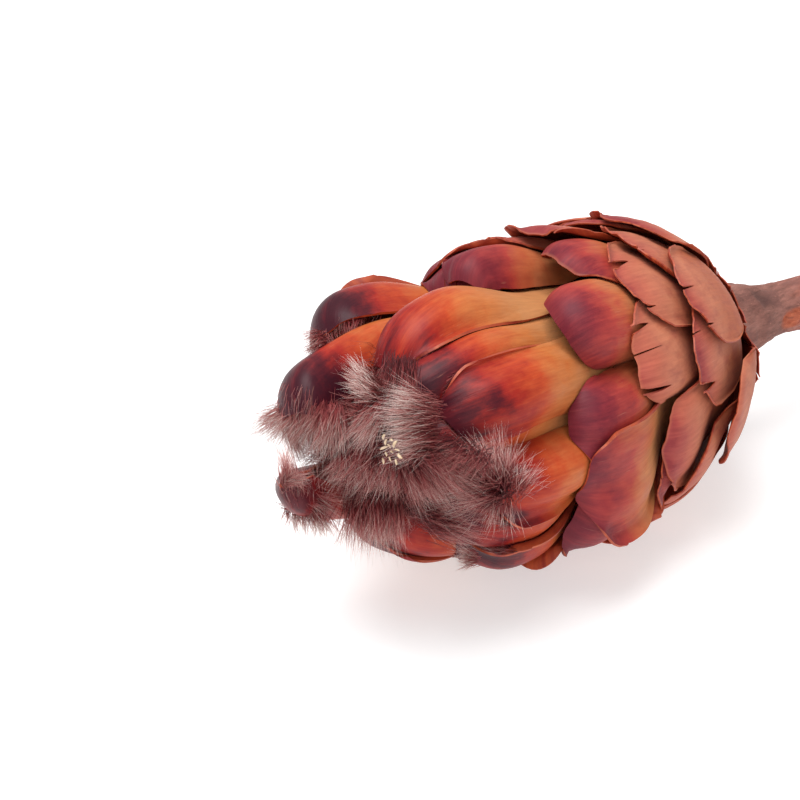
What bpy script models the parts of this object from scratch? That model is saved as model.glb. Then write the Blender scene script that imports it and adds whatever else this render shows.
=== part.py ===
"""A dried protea flower head on its cut stem, lying on a table.

The flower is built upright along +Z with the base of its head at the empty "head", and that empty
lays it down with the head towards -X. Sizes are in millimetres until a mesh is made.
"""

import math

import bmesh
import bpy
import numpy as np
from mathutils import Vector

MM = 0.001
# Points closer than this, in metres, are one point
MERGE_DISTANCE = 0.00001
# Faces that meet at more than this keep a crisp edge between them
SHARP_EDGE_DEG = 50

# How the flower lies: nose up, and turned a little about its own length
NOSE_UP_DEG = 4.53
ROLL_DEG = 3.4

# Outline of the closed head, as (height above its base, radius)
HEAD_PROFILE = [(0, 9), (5, 15), (11, 21.5), (19, 26.5), (31, 30.2), (45, 31.2), (62, 30.4), (76, 28.4),
                (88, 23.8), (98, 17.7), (108, 9.5), (114, 3)]

# The woody stem, from its cut end up, and the receptacle that ends it, as (height, radius)
STEM_PROFILE = [(-243, 6.0), (-241, 6.9), (-225, 6.8), (-200, 6.4), (-176, 6.2), (-160, 6.4), (-151, 7.2),
                (-146, 8.4), (-141, 8.7), (-133, 8.0), (-125, 6.9), (-117, 5.9), (-98, 5.5), (-60, 5.8),
                (-30, 5.9), (-14, 6.5), (-9, 8.4), (-2, 8.7), (1, 9.2), (4, 11.4), (8, 13.4), (14, 14.6),
                (20, 13.8), (24, 11.4), (27, 6.5), (28, 2.0)]
# How far the stem's centre strays from the head's axis, as (height, sideways, up)
STEM_COURSE = [(-243, -22.6, 0.0), (-207, -21.6, -0.6), (-170, -20.7, 0.4), (-143, -19.8, 1.2),
               (-124, -19.4, 1.0), (-97, -14.4, 0.6), (-70, -9.9, 0.6), (-42, -6.8, 0.8), (-24, -4.4, 0.6),
               (-10, -1.6, 0.2), (-4, -0.4, 0.0), (0, 0.0, 0.0), (4, 0.0, 0.0), (28, 0.0, 0.0)]
STEM_STEP = 6.0
STEM_BEVEL_RESOLUTION = 4

# The packed florets inside the head, which stand on the receptacle
FLORET_PROFILE = [(28.4, 8), (34, 13.5), (46, 17), (66, 17.5), (80, 15.5), (89, 11), (95, 4)]
FLORET_ROWS = 13
FLORET_STEPS = 20

# The heights at which every bract bends, so that one lies flat on the next
STATIONS = np.array([1.5, 5, 9, 14, 20, 28, 40, 54, 66, 76, 85, 93, 100, 108], float)

# The bracts: tip as (degrees round the head from the top, height)
LONG_BRACTS = [(12, 103), (40, 91), (-16, 94), (-34, 99), (-51, 92), (-70, 100), (-90, 88), (-110, 94),
               (-131, 88), (-156, 99), (150, 107), (-178, 93), (66, 98), (88, 90), (108, 102), (128, 92)]
MIDDLE_BRACTS = [(18, 75), (-5, 72), (-37, 70), (-78, 73), (-105, 67), (-129, 69), (45, 71), (71, 76),
                 (97, 69), (123, 75), (155, 66), (-179, 60), (-156, 74)]
OUTER_BRACTS = [(12, 53), (-16, 59), (-14, 42), (-36, 49), (-61, 54), (-93, 48), (-117, 53), (-141, 55),
                (37, 56), (61, 48), (84, 55), (101, 50), (134, 56), (147, 44), (-168, 48)]
LOWEST_BRACTS = [(3, 34), (-43, 35), (-67, 38), (-102, 30), (-124, 37), (-150, 34), (27, 40), (50, 31),
                 (75, 38), (98, 32), (126, 34), (112, 41), (168, 38)]
BRACT_THICKNESS = 0.75
CLEARANCE = 0.4
# Bracts shorter than this lie outermost, and each layer further in goes with tips this much higher
OUTERMOST_TIP = 32.0
TIP_RISE_PER_LAYER = 7.3

BLADE_HALF_WIDTH_SHORT = 11.0
BLADE_HALF_WIDTH_LONG = 7.8
SHORT_TIP, LONG_TIP = 60.0, 85.0
CLAW_HALF_WIDTH = 3.0
# A blade has its full width at this height, or on a short bract at this share of its length
BLADE_RISE = 30.0
BLADE_RISE_SHARE = 0.6
NOSE_PER_WIDTH = 1.1
TIP_HALF_WIDTH = 1.3
TIP_ROWS = (5.5, 1.6, 0.0)
LEAST_ROW = 1.0
SHORT_COLUMNS, LONG_COLUMNS = 4, 3
# Two bracts closer than this, in degrees between their edges, lie on different layers
EDGE_MARGIN_DEG = 1.0

# The ring of tiny scales that closes the head's base, outside the bracts' feet
SCALE_RING_ROWS = [0.2, 1.5, 5.0, 9.0]
SCALE_RING_COLUMNS = 28

# Colours as (red, green, blue) in linear light. A bract turns from the matt one to the waxy one
# between these two tip heights.
BARK_COLOUR = (0.25, 0.09, 0.06)
FLORET_COLOUR = (0.42, 0.2, 0.16)
SCALE_COLOUR = (0.4, 0.11, 0.07)
MATT_BRACT_COLOUR = (0.51, 0.14, 0.09)
WAXY_BRACT_COLOUR = (0.36, 0.04, 0.025)
MATT_TIP, WAXY_TIP = 45, 90
BARK_ROUGHNESS = 0.8
FLORET_ROUGHNESS = 0.9
SCALE_ROUGHNESS = 0.7
BRACT_ROUGHNESS = 0.55


def clear_scene():
    for obj in list(bpy.data.objects):
        bpy.data.objects.remove(obj, do_unlink=True)


def smooth(points, heights, column=1):
    """Values of a smooth curve through the points, read at the heights."""
    xs = np.array([point[0] for point in points], float)
    ys = np.array([point[column] for point in points], float)
    slopes = np.gradient(ys, xs)
    heights = np.clip(heights, xs[0], xs[-1])
    i = np.clip(np.searchsorted(xs, heights) - 1, 0, len(xs) - 2)
    width = xs[i + 1] - xs[i]
    t = (heights - xs[i]) / width
    start = (1 + 2 * t) * (1 - t) ** 2 * ys[i] + t * (1 - t) ** 2 * width * slopes[i]
    end = t**2 * (3 - 2 * t) * ys[i + 1] + t**2 * (t - 1) * width * slopes[i + 1]
    return start + end


def add_material(name, colour, roughness):
    material = bpy.data.materials.new(name)
    material.use_nodes = True
    shader = material.node_tree.nodes["Principled BSDF"]
    shader.inputs["Base Color"].default_value = (*colour, 1.0)
    shader.inputs["Roughness"].default_value = roughness
    material.diffuse_color = (*colour, 1.0)
    return material


def add_object(name, mesh, material, collection, parent):
    mesh.materials.clear()
    mesh.materials.append(material)
    obj = bpy.data.objects.new(name, mesh)
    obj.parent = parent
    collection.objects.link(obj)
    return obj


def add_stem(collection, head):
    """One woody piece from the cut end, through the knot and the collar, to the receptacle."""
    curve = bpy.data.curves.new("stem_course", "CURVE")
    curve.dimensions = "3D"
    curve.bevel_depth = MM
    curve.bevel_resolution = STEM_BEVEL_RESOLUTION
    curve.use_fill_caps = True
    marked = [point[0] for point in STEM_PROFILE]
    heights = [marked[0]]
    for low, high in zip(marked, marked[1:]):
        steps = max(1, round((high - low) / STEM_STEP))
        heights += list(np.linspace(low, high, steps + 1)[1:])
    radii = smooth(STEM_PROFILE, heights)
    sideways = smooth(STEM_COURSE, heights)
    up = smooth(STEM_COURSE, heights, 2)
    spline = curve.splines.new("POLY")
    spline.points.add(len(heights) - 1)
    for point, height, radius, y, x in zip(spline.points, heights, radii, sideways, up):
        point.co = (x * MM, y * MM, height * MM, 1.0)
        point.radius = radius
    guide = bpy.data.objects.new("stem_guide", curve)
    collection.objects.link(guide)
    bpy.context.view_layer.update()
    graph = bpy.context.evaluated_depsgraph_get()
    mesh = bpy.data.meshes.new_from_object(guide.evaluated_get(graph))
    mesh.name = "stem"
    bpy.data.objects.remove(guide, do_unlink=True)
    shape = bmesh.new()
    shape.from_mesh(mesh)
    bmesh.ops.remove_doubles(shape, verts=shape.verts, dist=MERGE_DISTANCE)
    bmesh.ops.recalc_face_normals(shape, faces=shape.faces)
    shape.to_mesh(mesh)
    shape.free()
    mesh.shade_smooth()
    add_object("stem", mesh, add_material("stem_bark", BARK_COLOUR, BARK_ROUGHNESS), collection, head)


def add_floret_mass(collection, head):
    """The florets, packed so tight that they fill the head as one plug."""
    heights = np.linspace(FLORET_PROFILE[-1][0], FLORET_PROFILE[0][0], FLORET_ROWS)
    radii = smooth(FLORET_PROFILE, heights)
    line = [Vector((radius * MM, 0, height * MM)) for radius, height in zip(radii, heights)]
    line = [Vector((0, 0, line[0].z))] + line + [Vector((0, 0, line[-1].z))]
    mesh = bpy.data.meshes.new("floret_mass")
    shape = bmesh.new()
    points = [shape.verts.new(point) for point in line]
    for above, below in zip(points, points[1:]):
        shape.edges.new((above, below))
    shape.to_mesh(mesh)
    shape.free()
    material = add_material("dry_florets", FLORET_COLOUR, FLORET_ROUGHNESS)
    obj = add_object("floret_mass", mesh, material, collection, head)
    turn = obj.modifiers.new("turn", "SCREW")
    turn.axis = "Z"
    turn.steps = FLORET_STEPS
    turn.render_steps = FLORET_STEPS
    turn.use_merge_vertices = True
    turn.merge_threshold = MERGE_DISTANCE
    turn.use_smooth_shade = True


def shell_radius(heights, layer):
    """Inner radius of the shell on which a layer's bracts lie. Layer 0 is the outermost."""
    sunk = np.clip((STATIONS - OUTERMOST_TIP) / TIP_RISE_PER_LAYER, 0, None)
    radii = smooth(HEAD_PROFILE, STATIONS) - BRACT_THICKNESS
    radii += (sunk - layer) * (BRACT_THICKNESS + CLEARANCE)
    return np.interp(heights, STATIONS, radii)


def half_angles(tip, heights):
    """Half of a bract's width in degrees: narrow claw, broad blade and round tip."""
    longness = np.clip((tip - SHORT_TIP) / (LONG_TIP - SHORT_TIP), 0, 1)
    blade = BLADE_HALF_WIDTH_SHORT + (BLADE_HALF_WIDTH_LONG - BLADE_HALF_WIDTH_SHORT) * longness
    spread = np.clip(heights / min(BLADE_RISE, BLADE_RISE_SHARE * tip), 0, 1)
    spread = spread * spread * (3 - 2 * spread)
    width = CLAW_HALF_WIDTH + (blade - CLAW_HALF_WIDTH) * spread
    nose = np.clip((tip - heights) / (NOSE_PER_WIDTH * blade), 0, 1)
    width = TIP_HALF_WIDTH + (width - TIP_HALF_WIDTH) * np.sqrt(1 - (1 - nose) ** 2)
    return np.degrees(width / smooth(HEAD_PROFILE, heights))


def share_layers(tips):
    """The layer of each bract: one further in than the lower-tipped bracts that it would meet."""
    layers = []
    for i, (angle, tip) in enumerate(tips):
        layer = 0
        for j, (other_angle, other_tip) in enumerate(tips[:i]):
            apart = abs((angle - other_angle + 180) % 360 - 180)
            heights = np.arange(0, min(tip, other_tip))
            reach = half_angles(tip, heights) + half_angles(other_tip, heights) + EDGE_MARGIN_DEG
            if (reach > apart).any():
                layer = max(layer, layers[j] + 1)
        layers.append(layer)
    return layers


def foot_height(layer):
    """Where the shell of this layer comes out of the receptacle and stays clear of it."""
    heights = np.arange(STATIONS[0], STEM_PROFILE[-1][0], 0.1)
    inside = shell_radius(heights, layer) < smooth(STEM_PROFILE, heights) + CLEARANCE
    return heights[inside].max() if inside.any() else heights[0]


def bract_rows(foot, tip):
    near_tip = [tip - back for back in TIP_ROWS]
    middle = STATIONS[(STATIONS > foot + LEAST_ROW) & (STATIONS < near_tip[0] - LEAST_ROW)]
    return np.array([foot, *middle, *near_tip])


def sheet_mesh(name, rows, half_widths, radii, columns):
    """A sheet bent round the head's axis, centred on local +X, with its wall built outwards."""
    mesh = bpy.data.meshes.new(name)
    shape = bmesh.new()
    bmesh.ops.create_grid(shape, x_segments=columns, y_segments=len(rows) - 1, size=1.0)
    for vert in shape.verts:
        across = round((vert.co.x + 1) / 2 * columns)
        along = round((vert.co.y + 1) / 2 * (len(rows) - 1))
        turn = math.radians(half_widths[along] * (2 * across / columns - 1))
        radius = radii[along] * MM
        vert.co = (radius * math.cos(turn), radius * math.sin(turn), rows[along] * MM)
    bmesh.ops.remove_doubles(shape, verts=shape.verts, dist=MERGE_DISTANCE)
    wall = bmesh.ops.extrude_face_region(shape, geom=shape.faces[:], use_keep_orig=True)
    for vert in wall["geom"]:
        if isinstance(vert, bmesh.types.BMVert):
            vert.co += Vector((vert.co.x, vert.co.y, 0)).normalized() * (BRACT_THICKNESS * MM)
    bmesh.ops.recalc_face_normals(shape, faces=shape.faces)
    shape.to_mesh(mesh)
    shape.free()
    mesh.shade_smooth()
    mesh.set_sharp_from_angle(angle=math.radians(SHARP_EDGE_DEG))
    return mesh


def bract_colour(tip):
    """Matt terracotta on the low, weathered bracts and waxy red on the long inner ones."""
    waxiness = float(np.clip((tip - MATT_TIP) / (WAXY_TIP - MATT_TIP), 0, 1))
    matt, waxy = np.array(MATT_BRACT_COLOUR), np.array(WAXY_BRACT_COLOUR)
    return tuple(matt + (waxy - matt) * waxiness)


def add_bracts(collection, head):
    """Every bract is a sheet of its own, standing on the receptacle."""
    tips = LONG_BRACTS + MIDDLE_BRACTS + OUTER_BRACTS + LOWEST_BRACTS
    tips = sorted(tips, key=lambda place: place[1])
    for number, ((angle, tip), layer) in enumerate(zip(tips, share_layers(tips)), 1):
        name = f"bract_{number:02d}"
        rows = bract_rows(foot_height(layer), tip)
        columns = LONG_COLUMNS if tip > LONG_TIP else SHORT_COLUMNS
        mesh = sheet_mesh(name, rows, half_angles(tip, rows), shell_radius(rows, layer), columns)
        material = add_material(name, bract_colour(tip), BRACT_ROUGHNESS)
        obj = add_object(name, mesh, material, collection, head)
        obj.rotation_euler = (0, 0, math.radians(angle))


def add_scale_ring(collection, head):
    """The smallest scales, grown together round the head's base."""
    rows = np.array(SCALE_RING_ROWS)
    radii = shell_radius(rows, -1)
    radii[0] = float(smooth(STEM_PROFILE, rows[:1])[0]) + CLEARANCE
    half_turn = np.full(len(rows), 180.0)
    mesh = sheet_mesh("basal_scales", rows, half_turn, radii, SCALE_RING_COLUMNS)
    material = add_material("basal_scales", SCALE_COLOUR, SCALE_ROUGHNESS)
    add_object("basal_scales", mesh, material, collection, head)


def lay_down(head, collection):
    """Turn the flower on its side and bring the middle of its box's underside to the origin."""
    head.rotation_mode = "ZYX"
    head.rotation_euler = (0, math.radians(NOSE_UP_DEG - 90), math.radians(ROLL_DEG))
    bpy.context.view_layer.update()
    graph = bpy.context.evaluated_depsgraph_get()
    points = []
    for obj in collection.objects:
        if obj.type == "MESH":
            evaluated = obj.evaluated_get(graph)
            mesh = evaluated.to_mesh()
            points += [evaluated.matrix_world @ vert.co for vert in mesh.vertices]
            evaluated.to_mesh_clear()
    points = np.array(points)
    low, high = points.min(axis=0), points.max(axis=0)
    head.location = (-(low[0] + high[0]) / 2, -(low[1] + high[1]) / 2, -low[2])


def main():
    clear_scene()
    collection = bpy.data.collections.new("dried_protea")
    bpy.context.scene.collection.children.link(collection)
    head = bpy.data.objects.new("head", None)
    collection.objects.link(head)
    add_stem(collection, head)
    add_floret_mass(collection, head)
    add_bracts(collection, head)
    add_scale_ring(collection, head)
    lay_down(head, collection)


main()
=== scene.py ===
# Dried protea on a pale table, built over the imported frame.
# Heights are millimetres along the head from its base, angles are degrees round it from its top.
import math
import bmesh
import bpy
import numpy as np
from mathutils import Euler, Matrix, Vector, noise


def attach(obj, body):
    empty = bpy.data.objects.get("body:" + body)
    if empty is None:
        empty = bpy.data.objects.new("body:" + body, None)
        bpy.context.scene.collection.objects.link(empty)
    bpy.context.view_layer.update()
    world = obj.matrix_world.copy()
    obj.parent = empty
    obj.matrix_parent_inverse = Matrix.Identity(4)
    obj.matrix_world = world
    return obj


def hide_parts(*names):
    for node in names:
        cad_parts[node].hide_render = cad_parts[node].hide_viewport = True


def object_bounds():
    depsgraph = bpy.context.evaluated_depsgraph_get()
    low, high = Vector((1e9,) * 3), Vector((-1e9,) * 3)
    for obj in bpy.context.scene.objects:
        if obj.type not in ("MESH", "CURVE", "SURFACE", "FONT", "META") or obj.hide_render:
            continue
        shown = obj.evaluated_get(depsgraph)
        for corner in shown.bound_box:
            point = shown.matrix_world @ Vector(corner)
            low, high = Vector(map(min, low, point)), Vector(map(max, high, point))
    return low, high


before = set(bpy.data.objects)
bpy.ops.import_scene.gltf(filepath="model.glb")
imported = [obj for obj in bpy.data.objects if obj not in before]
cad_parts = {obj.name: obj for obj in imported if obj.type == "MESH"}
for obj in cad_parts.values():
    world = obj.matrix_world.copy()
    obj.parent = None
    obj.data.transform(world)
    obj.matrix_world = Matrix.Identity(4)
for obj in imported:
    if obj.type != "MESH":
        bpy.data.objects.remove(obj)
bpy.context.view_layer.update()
mm = 0.001
dice = np.random.default_rng(11)

# how the head lies, and where its floret plug ends
lie = {"noseUp": 4.53, "roll": 3.4, "plugTop": 95.0}


def nodePoints(node):
    return np.array([vert.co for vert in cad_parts[node].data.vertices])


# the head's own directions, and the middle of its base, read from the flat top of the floret plug
headTurn = np.array(Euler((0, math.radians(lie["noseUp"] - 90), math.radians(lie["roll"])), "ZYX").to_matrix())
plugPoints = nodePoints("floret_mass")
plugRise = plugPoints @ headTurn[:, 2]
plugEnd = plugPoints[plugRise > plugRise.max() - 0.02 * mm].mean(axis=0)
headBase = plugEnd - headTurn[:, 2] * lie["plugTop"] * mm


def toWorld(points):
    return headBase + (np.asarray(points, float) * mm) @ headTurn.T


def toHead(points):
    return (np.asarray(points, float) - headBase) @ headTurn / mm


def around(angles, heights, radii):
    turn = np.radians(angles)
    return np.stack(np.broadcast_arrays(radii * np.cos(turn), radii * np.sin(turn), heights), axis=-1)


def curveThrough(xs, ys, at):
    # a smooth line through the points, read at the places
    xs, ys = np.asarray(xs, float), np.asarray(ys, float)
    slopes = np.gradient(ys, xs)
    at = np.clip(at, xs[0], xs[-1])
    i = np.clip(np.searchsorted(xs, at) - 1, 0, len(xs) - 2)
    width = xs[i + 1] - xs[i]
    t = (at - xs[i]) / width
    start = (1 + 2 * t) * (1 - t) ** 2 * ys[i] + t * (1 - t) ** 2 * width * slopes[i]
    end = t**2 * (3 - 2 * t) * ys[i + 1] + t**2 * (t - 1) * width * slopes[i + 1]
    return start + end


def easeIn(values, low, high):
    t = np.clip((values - low) / (high - low), 0, 1)
    return t * t * (3 - 2 * t)


studio = {"azimuth": -42.41, "elevation": 28.9, "lens": 77.27, "depth": 320.0, "aimHeight": 50.0,
          "aimRight": 25.85, "aimUp": 2.07}


def addNode(tree, kind, **settings):
    node = tree.nodes.new("ShaderNode" + kind)
    for key, value in settings.items():
        if hasattr(node, key):
            setattr(node, key, value)
        else:
            node.inputs[key.replace("_", " ")].default_value = value
    return node


def addRamp(tree, source, stops, ease="LINEAR"):
    ramp = addNode(tree, "ValToRGB")
    ramp.color_ramp.interpolation = ease
    while len(ramp.color_ramp.elements) < len(stops):
        ramp.color_ramp.elements.new(0.5)
    for element, (place, colour) in zip(ramp.color_ramp.elements, stops):
        element.position = place
        element.color = (*colour, 1) if len(colour) == 3 else (colour[0],) * 3 + (1,)
    tree.links.new(source, ramp.inputs["Fac"])
    return ramp.outputs["Color"]


def mixColours(tree, share, first, second, blend="MIX"):
    mix = addNode(tree, "Mix", data_type="RGBA", blend_type=blend)
    for value, place in ((share, 0), (first, 6), (second, 7)):
        if isinstance(value, (int, float, tuple)):
            mix.inputs[place].default_value = value
        else:
            tree.links.new(value, mix.inputs[place])
    return mix.outputs[2]


def calculate(tree, operation, first, second):
    step = addNode(tree, "Math", operation=operation)
    for value, place in ((first, 0), (second, 1)):
        if isinstance(value, (int, float)):
            step.inputs[place].default_value = value
        else:
            tree.links.new(value, step.inputs[place])
    return step.outputs[0]


def grainOf(tree, source, stretch, scale, detail=4.0, roughness=0.55):
    mapping = addNode(tree, "Mapping")
    mapping.inputs["Scale"].default_value = stretch
    tree.links.new(source, mapping.inputs["Vector"])
    grain = addNode(tree, "TexNoise")
    grain.inputs["Scale"].default_value = scale
    grain.inputs["Detail"].default_value = detail
    grain.inputs["Roughness"].default_value = roughness
    tree.links.new(mapping.outputs["Vector"], grain.inputs["Vector"])
    return grain.outputs["Fac"]


def startMaterial(name):
    material = bpy.data.materials.new(name)
    material.use_nodes = True
    shader = material.node_tree.nodes["Principled BSDF"]
    return material, material.node_tree, shader


def bumpOn(tree, shader, height, strength, distance):
    bump = addNode(tree, "Bump")
    bump.inputs["Strength"].default_value = strength
    bump.inputs["Distance"].default_value = distance
    tree.links.new(height, bump.inputs["Height"])
    tree.links.new(bump.outputs["Normal"], shader.inputs["Normal"])


# colours from a bract's tip down to where it goes under the next one
bractColours = {
    "low": [(0.0, (0.27, 0.036, 0.040)), (0.12, (0.38, 0.066, 0.054)), (0.3, (0.50, 0.125, 0.078)),
            (0.6, (0.56, 0.19, 0.105)), (1.0, (0.46, 0.12, 0.050))],
    "middle": [(0.0, (0.15, 0.014, 0.026)), (0.12, (0.23, 0.022, 0.030)), (0.30, (0.42, 0.048, 0.036)),
               (0.50, (0.53, 0.13, 0.05)), (0.78, (0.60, 0.25, 0.095))],
    "long": [(0.0, (0.045, 0.003, 0.010)), (0.11, (0.10, 0.006, 0.012)), (0.24, (0.34, 0.018, 0.011)),
             (0.42, (0.50, 0.065, 0.018)), (0.68, (0.59, 0.18, 0.05)), (1.0, (0.60, 0.26, 0.10))],
}
# roughness, sheen, gloss, and how strongly dusky patches show
bractFinish = {"low": (0.62, 0.06, 0.2, 0.4), "middle": (0.5, 0.03, 0.2, 0.3), "long": (0.42, 0.02, 0.2, 0.1)}


def bractMaterial(kind):
    material, tree, shader = startMaterial("bract_" + kind)
    roughness, sheen, gloss, dusky = bractFinish[kind]
    ramp = addNode(tree, "Attribute", attribute_name="fromTip").outputs["Fac"]
    leaf = addNode(tree, "Attribute", attribute_name="leaf").outputs["Vector"]
    tint = addNode(tree, "Attribute", attribute_name="tint").outputs["Fac"]
    rim = addNode(tree, "Attribute", attribute_name="rim").outputs["Fac"]
    patches = grainOf(tree, leaf, (1, 0.55, 1), 0.14, 3.0)
    clouds = grainOf(tree, leaf, (1, 0.6, 1.3), 0.45, 4.0, 0.6)
    streaks = grainOf(tree, leaf, (1, 0.09, 1), 1.5, 5.0, 0.65)
    fibres = grainOf(tree, leaf, (1, 0.05, 1), 4.0, 2.0)
    place = calculate(tree, "ADD", ramp, calculate(tree, "MULTIPLY", calculate(tree, "SUBTRACT", patches, 0.5), 0.6))
    place = calculate(tree, "ADD", place, calculate(tree, "MULTIPLY", calculate(tree, "SUBTRACT", clouds, 0.5), 0.35))
    place = calculate(tree, "ADD", place, calculate(tree, "MULTIPLY", calculate(tree, "SUBTRACT", streaks, 0.5), 0.2))
    place = calculate(tree, "ADD", place, tint)
    colour = addRamp(tree, place, bractColours[kind])
    dusk = addRamp(tree, clouds, [(0.45, (0.0,)), (0.72, (dusky,))])
    colour = mixColours(tree, dusk, colour, (0.27, 0.040, 0.048, 1))
    light = addRamp(tree, streaks, [(0.3, (0.80,)), (0.7, (1.0,))])
    colour = mixColours(tree, 1.0, colour, light, "MULTIPLY")
    pale = addRamp(tree, fibres, [(0.70, (0.0,)), (0.79, (0.25,))])
    colour = mixColours(tree, pale, colour, (0.66, 0.30, 0.20, 1))
    colour = mixColours(tree, calculate(tree, "MULTIPLY", rim, 0.35), colour, (0.58, 0.19, 0.09, 1))
    tree.links.new(colour, shader.inputs["Base Color"])
    shader.inputs["Sheen Weight"].default_value = sheen
    shader.inputs["Sheen Roughness"].default_value = 0.4
    shader.inputs["Sheen Tint"].default_value = (1.0, 0.66, 0.62, 1)
    shader.inputs["Roughness"].default_value = roughness
    shader.inputs["Specular IOR Level"].default_value = gloss
    bumpOn(tree, shader, calculate(tree, "ADD", streaks, calculate(tree, "MULTIPLY", fibres, 0.4)), 0.35, 0.2 * mm)
    return material


def insideMaterial():
    # the inner face and the broken edges, a stronger orange-red
    material, tree, shader = startMaterial("bract_inside")
    leaf = addNode(tree, "Attribute", attribute_name="leaf").outputs["Vector"]
    streaks = grainOf(tree, leaf, (1, 0.09, 1), 1.6, 4.0)
    colour = addRamp(tree, streaks, [(0.3, (0.24, 0.02, 0.012)), (0.7, (0.50, 0.095, 0.03))])
    tree.links.new(colour, shader.inputs["Base Color"])
    shader.inputs["Roughness"].default_value = 0.55
    return material


# what changes with a bract's tip height: (height, value) pairs
bractShape = {
    "sink": [(25, 0.0), (42, 0.3), (50, 0.9), (58, 1.8), (75, 2.4), (105, 2.4)],
    "crown": [(25, 0.5), (42, 1.3), (50, 2.4), (58, 3.8), (75, 4.6), (90, 4.8), (105, 3.8)],
    "tuck": [(25, 0.4), (42, 0.8), (52, 2.0), (60, 4.0), (75, 5.5), (105, 6.0)],
    "roundness": [(25, 1.8), (42, 3.0), (52, 4.5), (60, 5.5), (75, 6.5), (105, 6.5)],
    "curl": [(25, 0.2), (45, 0.4), (60, 0.6), (75, 0.8), (90, 1.2), (109, 1.5)],
    "exposed": [(25, 12), (42, 17), (58, 25), (75, 30), (105, 38)],
    "edgeGap": [(25, 0.6), (48, 0.6), (56, 0.25), (62, 0.06), (105, 0.05)],
    "pointed": [(25, 0.16), (50, 0.12), (60, 0.06), (105, 0.03)],
    "ragged": [(25, 0.5), (50, 0.45), (60, 0.12), (105, 0.05)],
    "wall": [(25, 0.26), (50, 0.28), (60, 0.42), (105, 0.5)],
    "thinEdge": [(25, 0.8), (50, 0.7), (60, 0.3), (105, 0.25)],
}
bractGrid = {"across": 30, "hidden": 9, "shown": 40, "claw": 3.0, "rise": 30.0, "riseShare": 0.6, "nose": 0.95,
             "square": 2.2}
stackMap = {"low": -6.0, "step": 0.5, "rows": 266, "columns": 360}
stackTop = np.zeros((stackMap["rows"], stackMap["columns"]))
builtBracts = {}


def shapeOf(key, tip):
    return float(np.interp(tip, *zip(*bractShape[key])))


def readSheet(node):
    # middle angle, row heights, inner radius and half angle of a packed bract
    points = toHead(nodePoints(node))
    points = points[np.argsort(points[:, 2])]
    rows = np.split(points, np.where(np.diff(points[:, 2]) > 0.3)[0] + 1)
    rough = math.degrees(math.atan2(points[:, 1].sum(), points[:, 0].sum()))
    heights, radii, lefts, rights = [], [], [], []
    for row in rows:
        angles = (np.degrees(np.arctan2(row[:, 1], row[:, 0])) - rough + 180) % 360 - 180
        heights.append(row[:, 2].mean())
        radii.append(np.hypot(row[:, 0], row[:, 1]).min())
        lefts.append(angles.min())
        rights.append(angles.max())
    halves = (np.array(rights) - np.array(lefts)) / 2
    middle = rough + (lefts[-1] + rights[-1]) / 2
    blade = (np.radians(halves) * np.array(radii)).max()
    return {"middle": middle, "heights": heights, "radii": radii, "blade": blade, "tip": heights[-1]}


def underneath(angles, heights):
    # the outermost radius built so far
    y = np.clip((heights - stackMap["low"]) / stackMap["step"], 0, stackMap["rows"] - 1.001)
    x = angles % 360
    row, column = y.astype(int), x.astype(int)
    fy, fx = y - row, x - column
    right = (column + 1) % 360
    low = stackTop[row, column % 360] * (1 - fx) + stackTop[row, right] * fx
    high = stackTop[row + 1, column % 360] * (1 - fx) + stackTop[row + 1, right] * fx
    return low * (1 - fy) + high * fy


def pileUp(angles, heights, radii):
    # marks a finished sheet in the map, between its grid points too
    def finer(field):
        across = np.stack([field[:, :-1] * (1 - t) + field[:, 1:] * t for t in (0, 1 / 3, 2 / 3)], axis=-1)
        across = across.reshape(len(field), -1)
        along = np.stack([across[:-1] * (1 - t) + across[1:] * t for t in (0, 1 / 3, 2 / 3)], axis=1)
        return along.reshape(-1, across.shape[1])
    angles, heights, radii = finer(angles), finer(heights), finer(radii)
    rows = np.round((heights - stackMap["low"]) / stackMap["step"]).astype(int)
    rows = np.clip(rows, 0, stackMap["rows"] - 1)
    columns = np.round(angles).astype(int) % 360
    np.maximum.at(stackTop, (rows, columns), radii)


def windowed(field, reach, how):
    padded = np.pad(field, reach, mode="edge")
    size = 2 * reach + 1
    return how(np.lib.stride_tricks.sliding_window_view(padded, (size, size)), axis=(2, 3))


def startStack():
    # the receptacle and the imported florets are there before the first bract
    heights = stackMap["low"] + stackMap["step"] * np.arange(stackMap["rows"])
    for node in ("stem", "floret_mass"):
        points = toHead(nodePoints(node))
        points = points[points[:, 2] > 0]
        points = points[np.argsort(points[:, 2])]
        radii = np.interp(heights, points[:, 2], np.hypot(points[:, 0], points[:, 1]), left=0, right=0)
        stackTop[:] = np.maximum(stackTop, radii[:, None])


def gridSheet(name, across, along):
    # a flat grid from -1 to 1 both ways, with its vertices sorted row by row
    bpy.ops.object.select_all(action="DESELECT")
    bpy.ops.mesh.primitive_grid_add(x_subdivisions=across, y_subdivisions=along, size=2)
    sheet = bpy.context.object
    sheet.name = sheet.data.name = name
    flat = np.empty(len(sheet.data.vertices) * 3)
    sheet.data.vertices.foreach_get("co", flat)
    flat = flat.reshape(-1, 3)
    column = np.round((flat[:, 0] + 1) / 2 * across).astype(int)
    row = np.round((flat[:, 1] + 1) / 2 * along).astype(int)
    return sheet, row, column


def setAttribute(mesh, name, values, kind="FLOAT"):
    layer = mesh.attributes.new(name, kind, "POINT")
    layer.data.foreach_set("value" if kind == "FLOAT" else "vector", np.ascontiguousarray(values, np.float32).ravel())


def applyModifier(piece, kind, **settings):
    bpy.context.view_layer.objects.active = piece
    modifier = piece.modifiers.new(kind.lower(), kind)
    for key, value in settings.items():
        setattr(modifier, key, value)
    bpy.ops.object.modifier_apply(modifier=modifier.name)


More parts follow.
